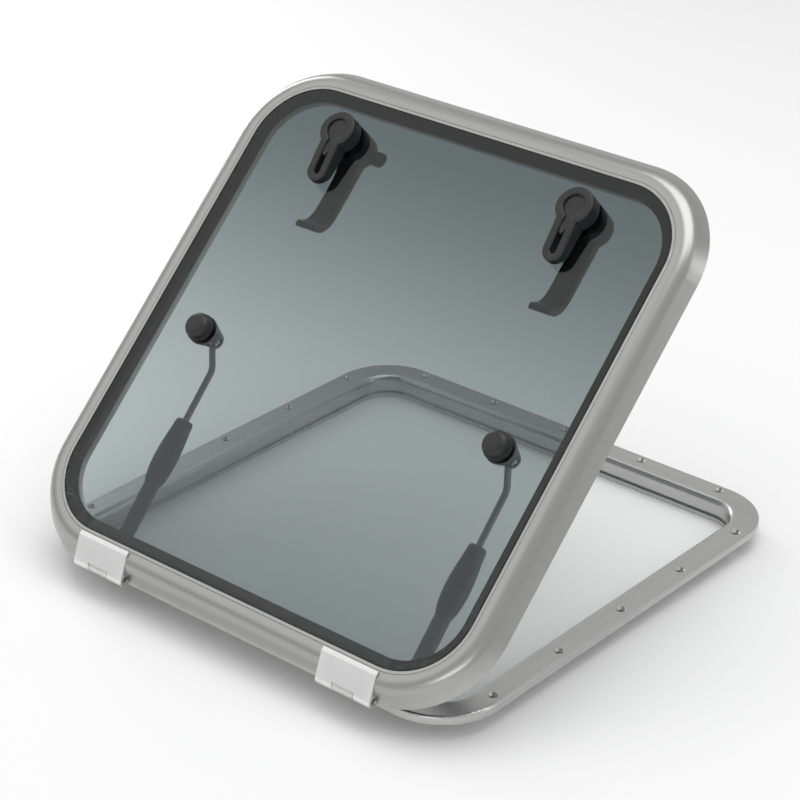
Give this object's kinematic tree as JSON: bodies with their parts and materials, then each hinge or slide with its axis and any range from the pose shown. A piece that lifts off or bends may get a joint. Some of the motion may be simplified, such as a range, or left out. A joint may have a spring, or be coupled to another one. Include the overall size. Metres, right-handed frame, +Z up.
{
  "type": "deck hatch",
  "caption": "Square flush-hinged boat deck hatch: flanged metal base frame, round-shouldered lid with a bonded smoke acrylic pane, turning lever handles and telescopic friction stays.",
  "frame": {"origin": "centre of the deck screw pattern, on the underside of the base flange", "axes": "+Z up out of the deck, +X along the hinge line, +Y from the hinges to the free side"},
  "size_m": [0.59, 0.583, 0.4438],
  "materials": {
    "frame_metal": "satin anodised",
    "hinge_metal": "satin",
    "steel": "brushed",
    "acrylic": "clear smoke tint, polished",
    "sealant": "matt",
    "gasket": "matt",
    "handle_plastic": "fine grain",
    "tube_plastic": "satin",
    "bush_plastic": "smooth"
  },
  "bodies": {
    "base": {"base_frame": "frame_metal", "hinge_lug_left": "hinge_metal", "hinge_lug_right": "hinge_metal", "hinge_bush_left": "bush_plastic", "hinge_bush_right": "bush_plastic", "hinge_lug_screws": "steel", "stay_bracket_left": "tube_plastic", "stay_bracket_right": "tube_plastic", "stay_foot_pin_left": "steel", "stay_foot_pin_right": "steel", "stay_bracket_screws": "steel"},
    "lid": {"lid_frame": "frame_metal", "pane": "acrylic", "pane_sealant": "sealant", "lid_gasket": "gasket", "hinge_leaf_left": "hinge_metal", "hinge_leaf_right": "hinge_metal", "hinge_pin_left": "steel", "hinge_pin_right": "steel", "handle_bush_left": "bush_plastic", "handle_bush_right": "bush_plastic", "handle_seal_left": "gasket", "handle_seal_right": "gasket", "handle_nut_left": "bush_plastic", "handle_nut_right": "bush_plastic", "stay_post_left": "handle_plastic", "stay_post_right": "handle_plastic", "stay_seal_left": "gasket", "stay_seal_right": "gasket", "stay_cap_left": "handle_plastic", "stay_cap_right": "handle_plastic", "stay_bolt_left": "steel", "stay_bolt_right": "steel"},
    "handle_left": {"handle_outer_left": "handle_plastic", "handle_spindle_left": "steel", "handle_screw_left": "steel", "handle_inner_left": "handle_plastic"},
    "handle_right": {"handle_outer_right": "handle_plastic", "handle_spindle_right": "steel", "handle_screw_right": "steel", "handle_inner_right": "handle_plastic"},
    "stay_tube_left": {"stay_tube_left": "tube_plastic", "stay_guide_left": "bush_plastic", "stay_grip_left": "handle_plastic"},
    "stay_tube_right": {"stay_tube_right": "tube_plastic", "stay_guide_right": "bush_plastic", "stay_grip_right": "handle_plastic"},
    "stay_rod_left": {"stay_rod_left": "steel", "stay_top_pin_left": "steel"},
    "stay_rod_right": {"stay_rod_right": "steel", "stay_top_pin_right": "steel"}
  },
  "joints": [
    {"name": "lid_hinge", "type": "hinge", "parent": "base", "child": "lid", "pos_m": [0, -0.2945, 0.014], "axis": [1, 0, 0], "range_deg": [-44.2, 30.8]},
    {"name": "handle_left_turn", "type": "hinge", "parent": "lid", "child": "handle_left", "pos_m": [-0.153, 0.06909, 0.37595], "axis": [0, -0.6972, 0.7169], "range_deg": [0, 90]},
    {"name": "handle_right_turn", "type": "hinge", "parent": "lid", "child": "handle_right", "pos_m": [0.153, 0.06909, 0.37595], "axis": [0, -0.6972, 0.7169], "range_deg": [-90, 0]},
    {"name": "stay_left_foot", "type": "hinge", "parent": "base", "child": "stay_tube_left", "pos_m": [-0.196, -0.239, 0.001], "axis": [1, 0, 0], "range_deg": [-50.22, 35.01]},
    {"name": "stay_left_slide", "type": "slide", "parent": "stay_tube_left", "child": "stay_rod_left", "axis": [0, 0.6859, 0.7277], "range_m": [-0.03325, 0.0232]},
    {"name": "stay_right_foot", "type": "hinge", "parent": "base", "child": "stay_tube_right", "pos_m": [0.196, -0.239, 0.001], "axis": [1, 0, 0], "range_deg": [-50.22, 35.01]},
    {"name": "stay_right_slide", "type": "slide", "parent": "stay_tube_right", "child": "stay_rod_right", "axis": [0, 0.6859, 0.7277], "range_m": [-0.03325, 0.0232]}
  ],
  "couplings": [
    {"joint": "stay_left_foot", "follows": "lid_hinge", "ratio": 1.135},
    {"joint": "stay_left_slide", "follows": "lid_hinge", "m_per_rad": 0.042972},
    {"joint": "stay_right_foot", "follows": "lid_hinge", "ratio": 1.135},
    {"joint": "stay_right_slide", "follows": "lid_hinge", "m_per_rad": 0.042972}
  ]
}
